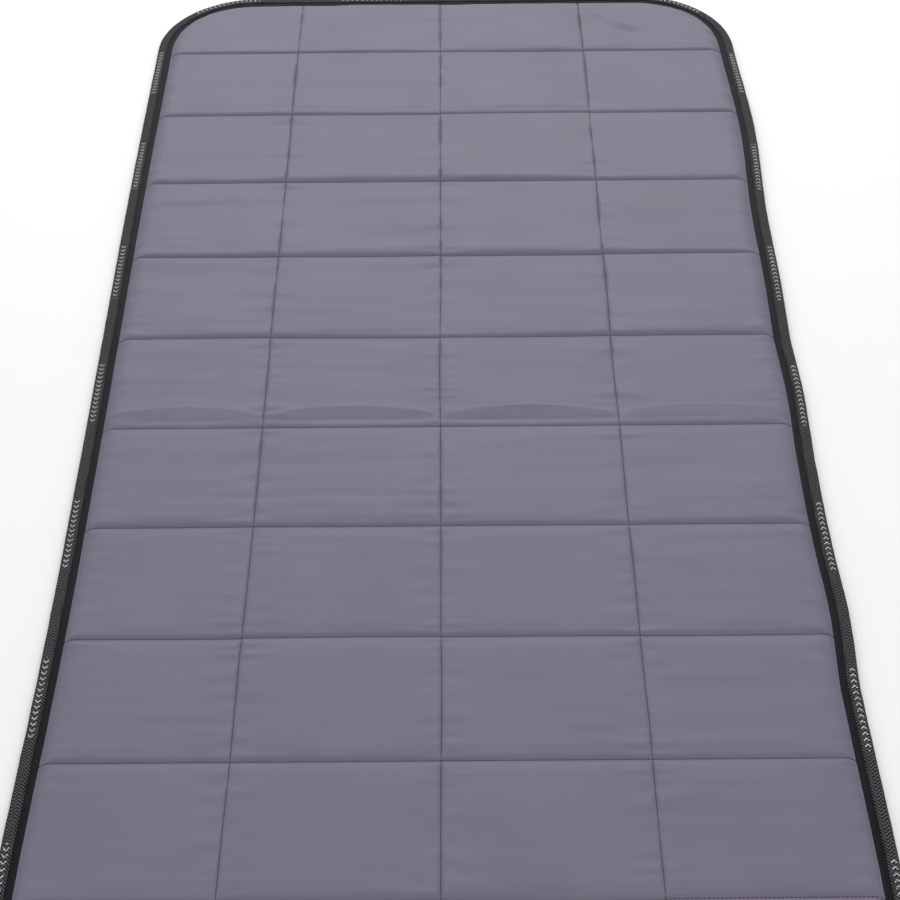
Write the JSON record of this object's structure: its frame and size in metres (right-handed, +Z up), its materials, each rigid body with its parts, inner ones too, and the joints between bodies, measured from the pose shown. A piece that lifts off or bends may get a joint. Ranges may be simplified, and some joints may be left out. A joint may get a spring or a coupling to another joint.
{
  "type": "infrared sauna blanket",
  "caption": "Flat quilted infrared heating mat with rounded corners and a bound edge, which folds up along its quilting seams, with a power inlet at the foot end.",
  "frame": {"origin": "on the floor plane under the middle of the open mat, bottom centre of the bounding box", "axes": "+Y along the mat's length towards its head end, +X across the mat, +Z up through its thickness, quilted face up"},
  "size_m": [0.8, 1.8, 0.015],
  "materials": {
    "top_cover": "smooth grey-mauve coated fabric, satin-matte",
    "binding_webbing": "charcoal-black woven tape, matte, with light grey woven dashes",
    "edge_facing": "smooth black fabric strip, satin-matte",
    "bottom_cover": "dark grey coated lining, matte",
    "wadding": "white polyester wadding",
    "heater_felt": "cream needled felt",
    "heating_cable": "red silicone-sheathed carbon fibre heating cable",
    "reflective_foil": "bright aluminised film",
    "insulation": "grey cotton insulation felt",
    "inlet_plastic": "black fine-textured plastic",
    "carrier_nylon": "cream nylon",
    "contact_brass": "turned brass",
    "screw_steel": "zinc-plated steel",
    "lead_brown": "brown silicone sheath",
    "lead_blue": "blue silicone sheath",
    "lead_white": "white silicone sheath",
    "splice_sleeve": "translucent crimp sleeve",
    "cutout_ceramic": "white ceramic-look case",
    "sensor_brass": "brass-cased sensor head"
  },
  "bodies": {
    "lower_section": {"binding_lower_left": "binding_webbing", "binding_lower_right": "binding_webbing", "bottom_cover_lower": "bottom_cover", "edge_facing_lower_left": "edge_facing", "edge_facing_lower_right": "edge_facing", "heater_felt_lower": "heater_felt", "heating_cable_lower_left": "heating_cable", "heating_cable_lower_right": "heating_cable", "insulation_lower": "insulation", "reflective_foil_lower": "reflective_foil", "top_cover_lower": "top_cover", "wadding_lower": "wadding"},
    "upper_section": {"binding_upper_left": "binding_webbing", "binding_upper_right": "binding_webbing", "bottom_cover_upper": "bottom_cover", "edge_facing_upper_left": "edge_facing", "edge_facing_upper_right": "edge_facing", "heater_felt_upper": "heater_felt", "heating_cable_upper_left": "heating_cable", "heating_cable_upper_right": "heating_cable", "insulation_upper": "insulation", "reflective_foil_upper": "reflective_foil", "top_cover_upper": "top_cover", "wadding_upper": "wadding"},
    "head_section": {"binding_head": "binding_webbing", "bottom_cover_head": "bottom_cover", "edge_facing_head": "edge_facing", "heater_felt_head": "heater_felt", "heating_cable_head": "heating_cable", "insulation_head": "insulation", "reflective_foil_head": "reflective_foil", "top_cover_head": "top_cover", "wadding_head": "wadding"},
    "foot_section": {"binding_foot_left": "binding_webbing", "binding_foot_right": "binding_webbing", "bottom_cover_foot": "bottom_cover", "contact_pin_live": "contact_brass", "contact_pin_neutral": "contact_brass", "contact_pin_sensor": "contact_brass", "edge_facing_foot_left": "edge_facing", "edge_facing_foot_right": "edge_facing", "heater_felt_foot": "heater_felt", "heating_cable_foot_left": "heating_cable", "heating_cable_foot_right": "heating_cable", "inlet_base": "inlet_plastic", "inlet_lid": "inlet_plastic", "inlet_screw_left": "screw_steel", "inlet_screw_right": "screw_steel", "insulation_foot": "insulation", "lead_live": "lead_brown", "lead_neutral": "lead_blue", "lead_sensor": "lead_white", "pin_carrier": "carrier_nylon", "reflective_foil_foot": "reflective_foil", "splice_sleeve": "splice_sleeve", "temperature_sensor": "sensor_brass", "thermal_cutout": "cutout_ceramic", "top_cover_foot": "top_cover", "wadding_foot": "wadding"}
  },
  "joints": [
    {"name": "fold_middle", "type": "hinge", "parent": "lower_section", "child": "upper_section", "pos_m": [0, 0, 0.03225], "axis": [1, 0, 0], "range_deg": [0, 179.9]},
    {"name": "fold_head", "type": "hinge", "parent": "upper_section", "child": "head_section", "pos_m": [0, 0.4508, 0.0155], "axis": [1, 0, 0], "range_deg": [0, 179.9]},
    {"name": "fold_foot", "type": "hinge", "parent": "lower_section", "child": "foot_section", "pos_m": [0, -0.4508, 0.0155], "axis": [-1, 0, 0], "range_deg": [0, 179.9]}
  ]
}
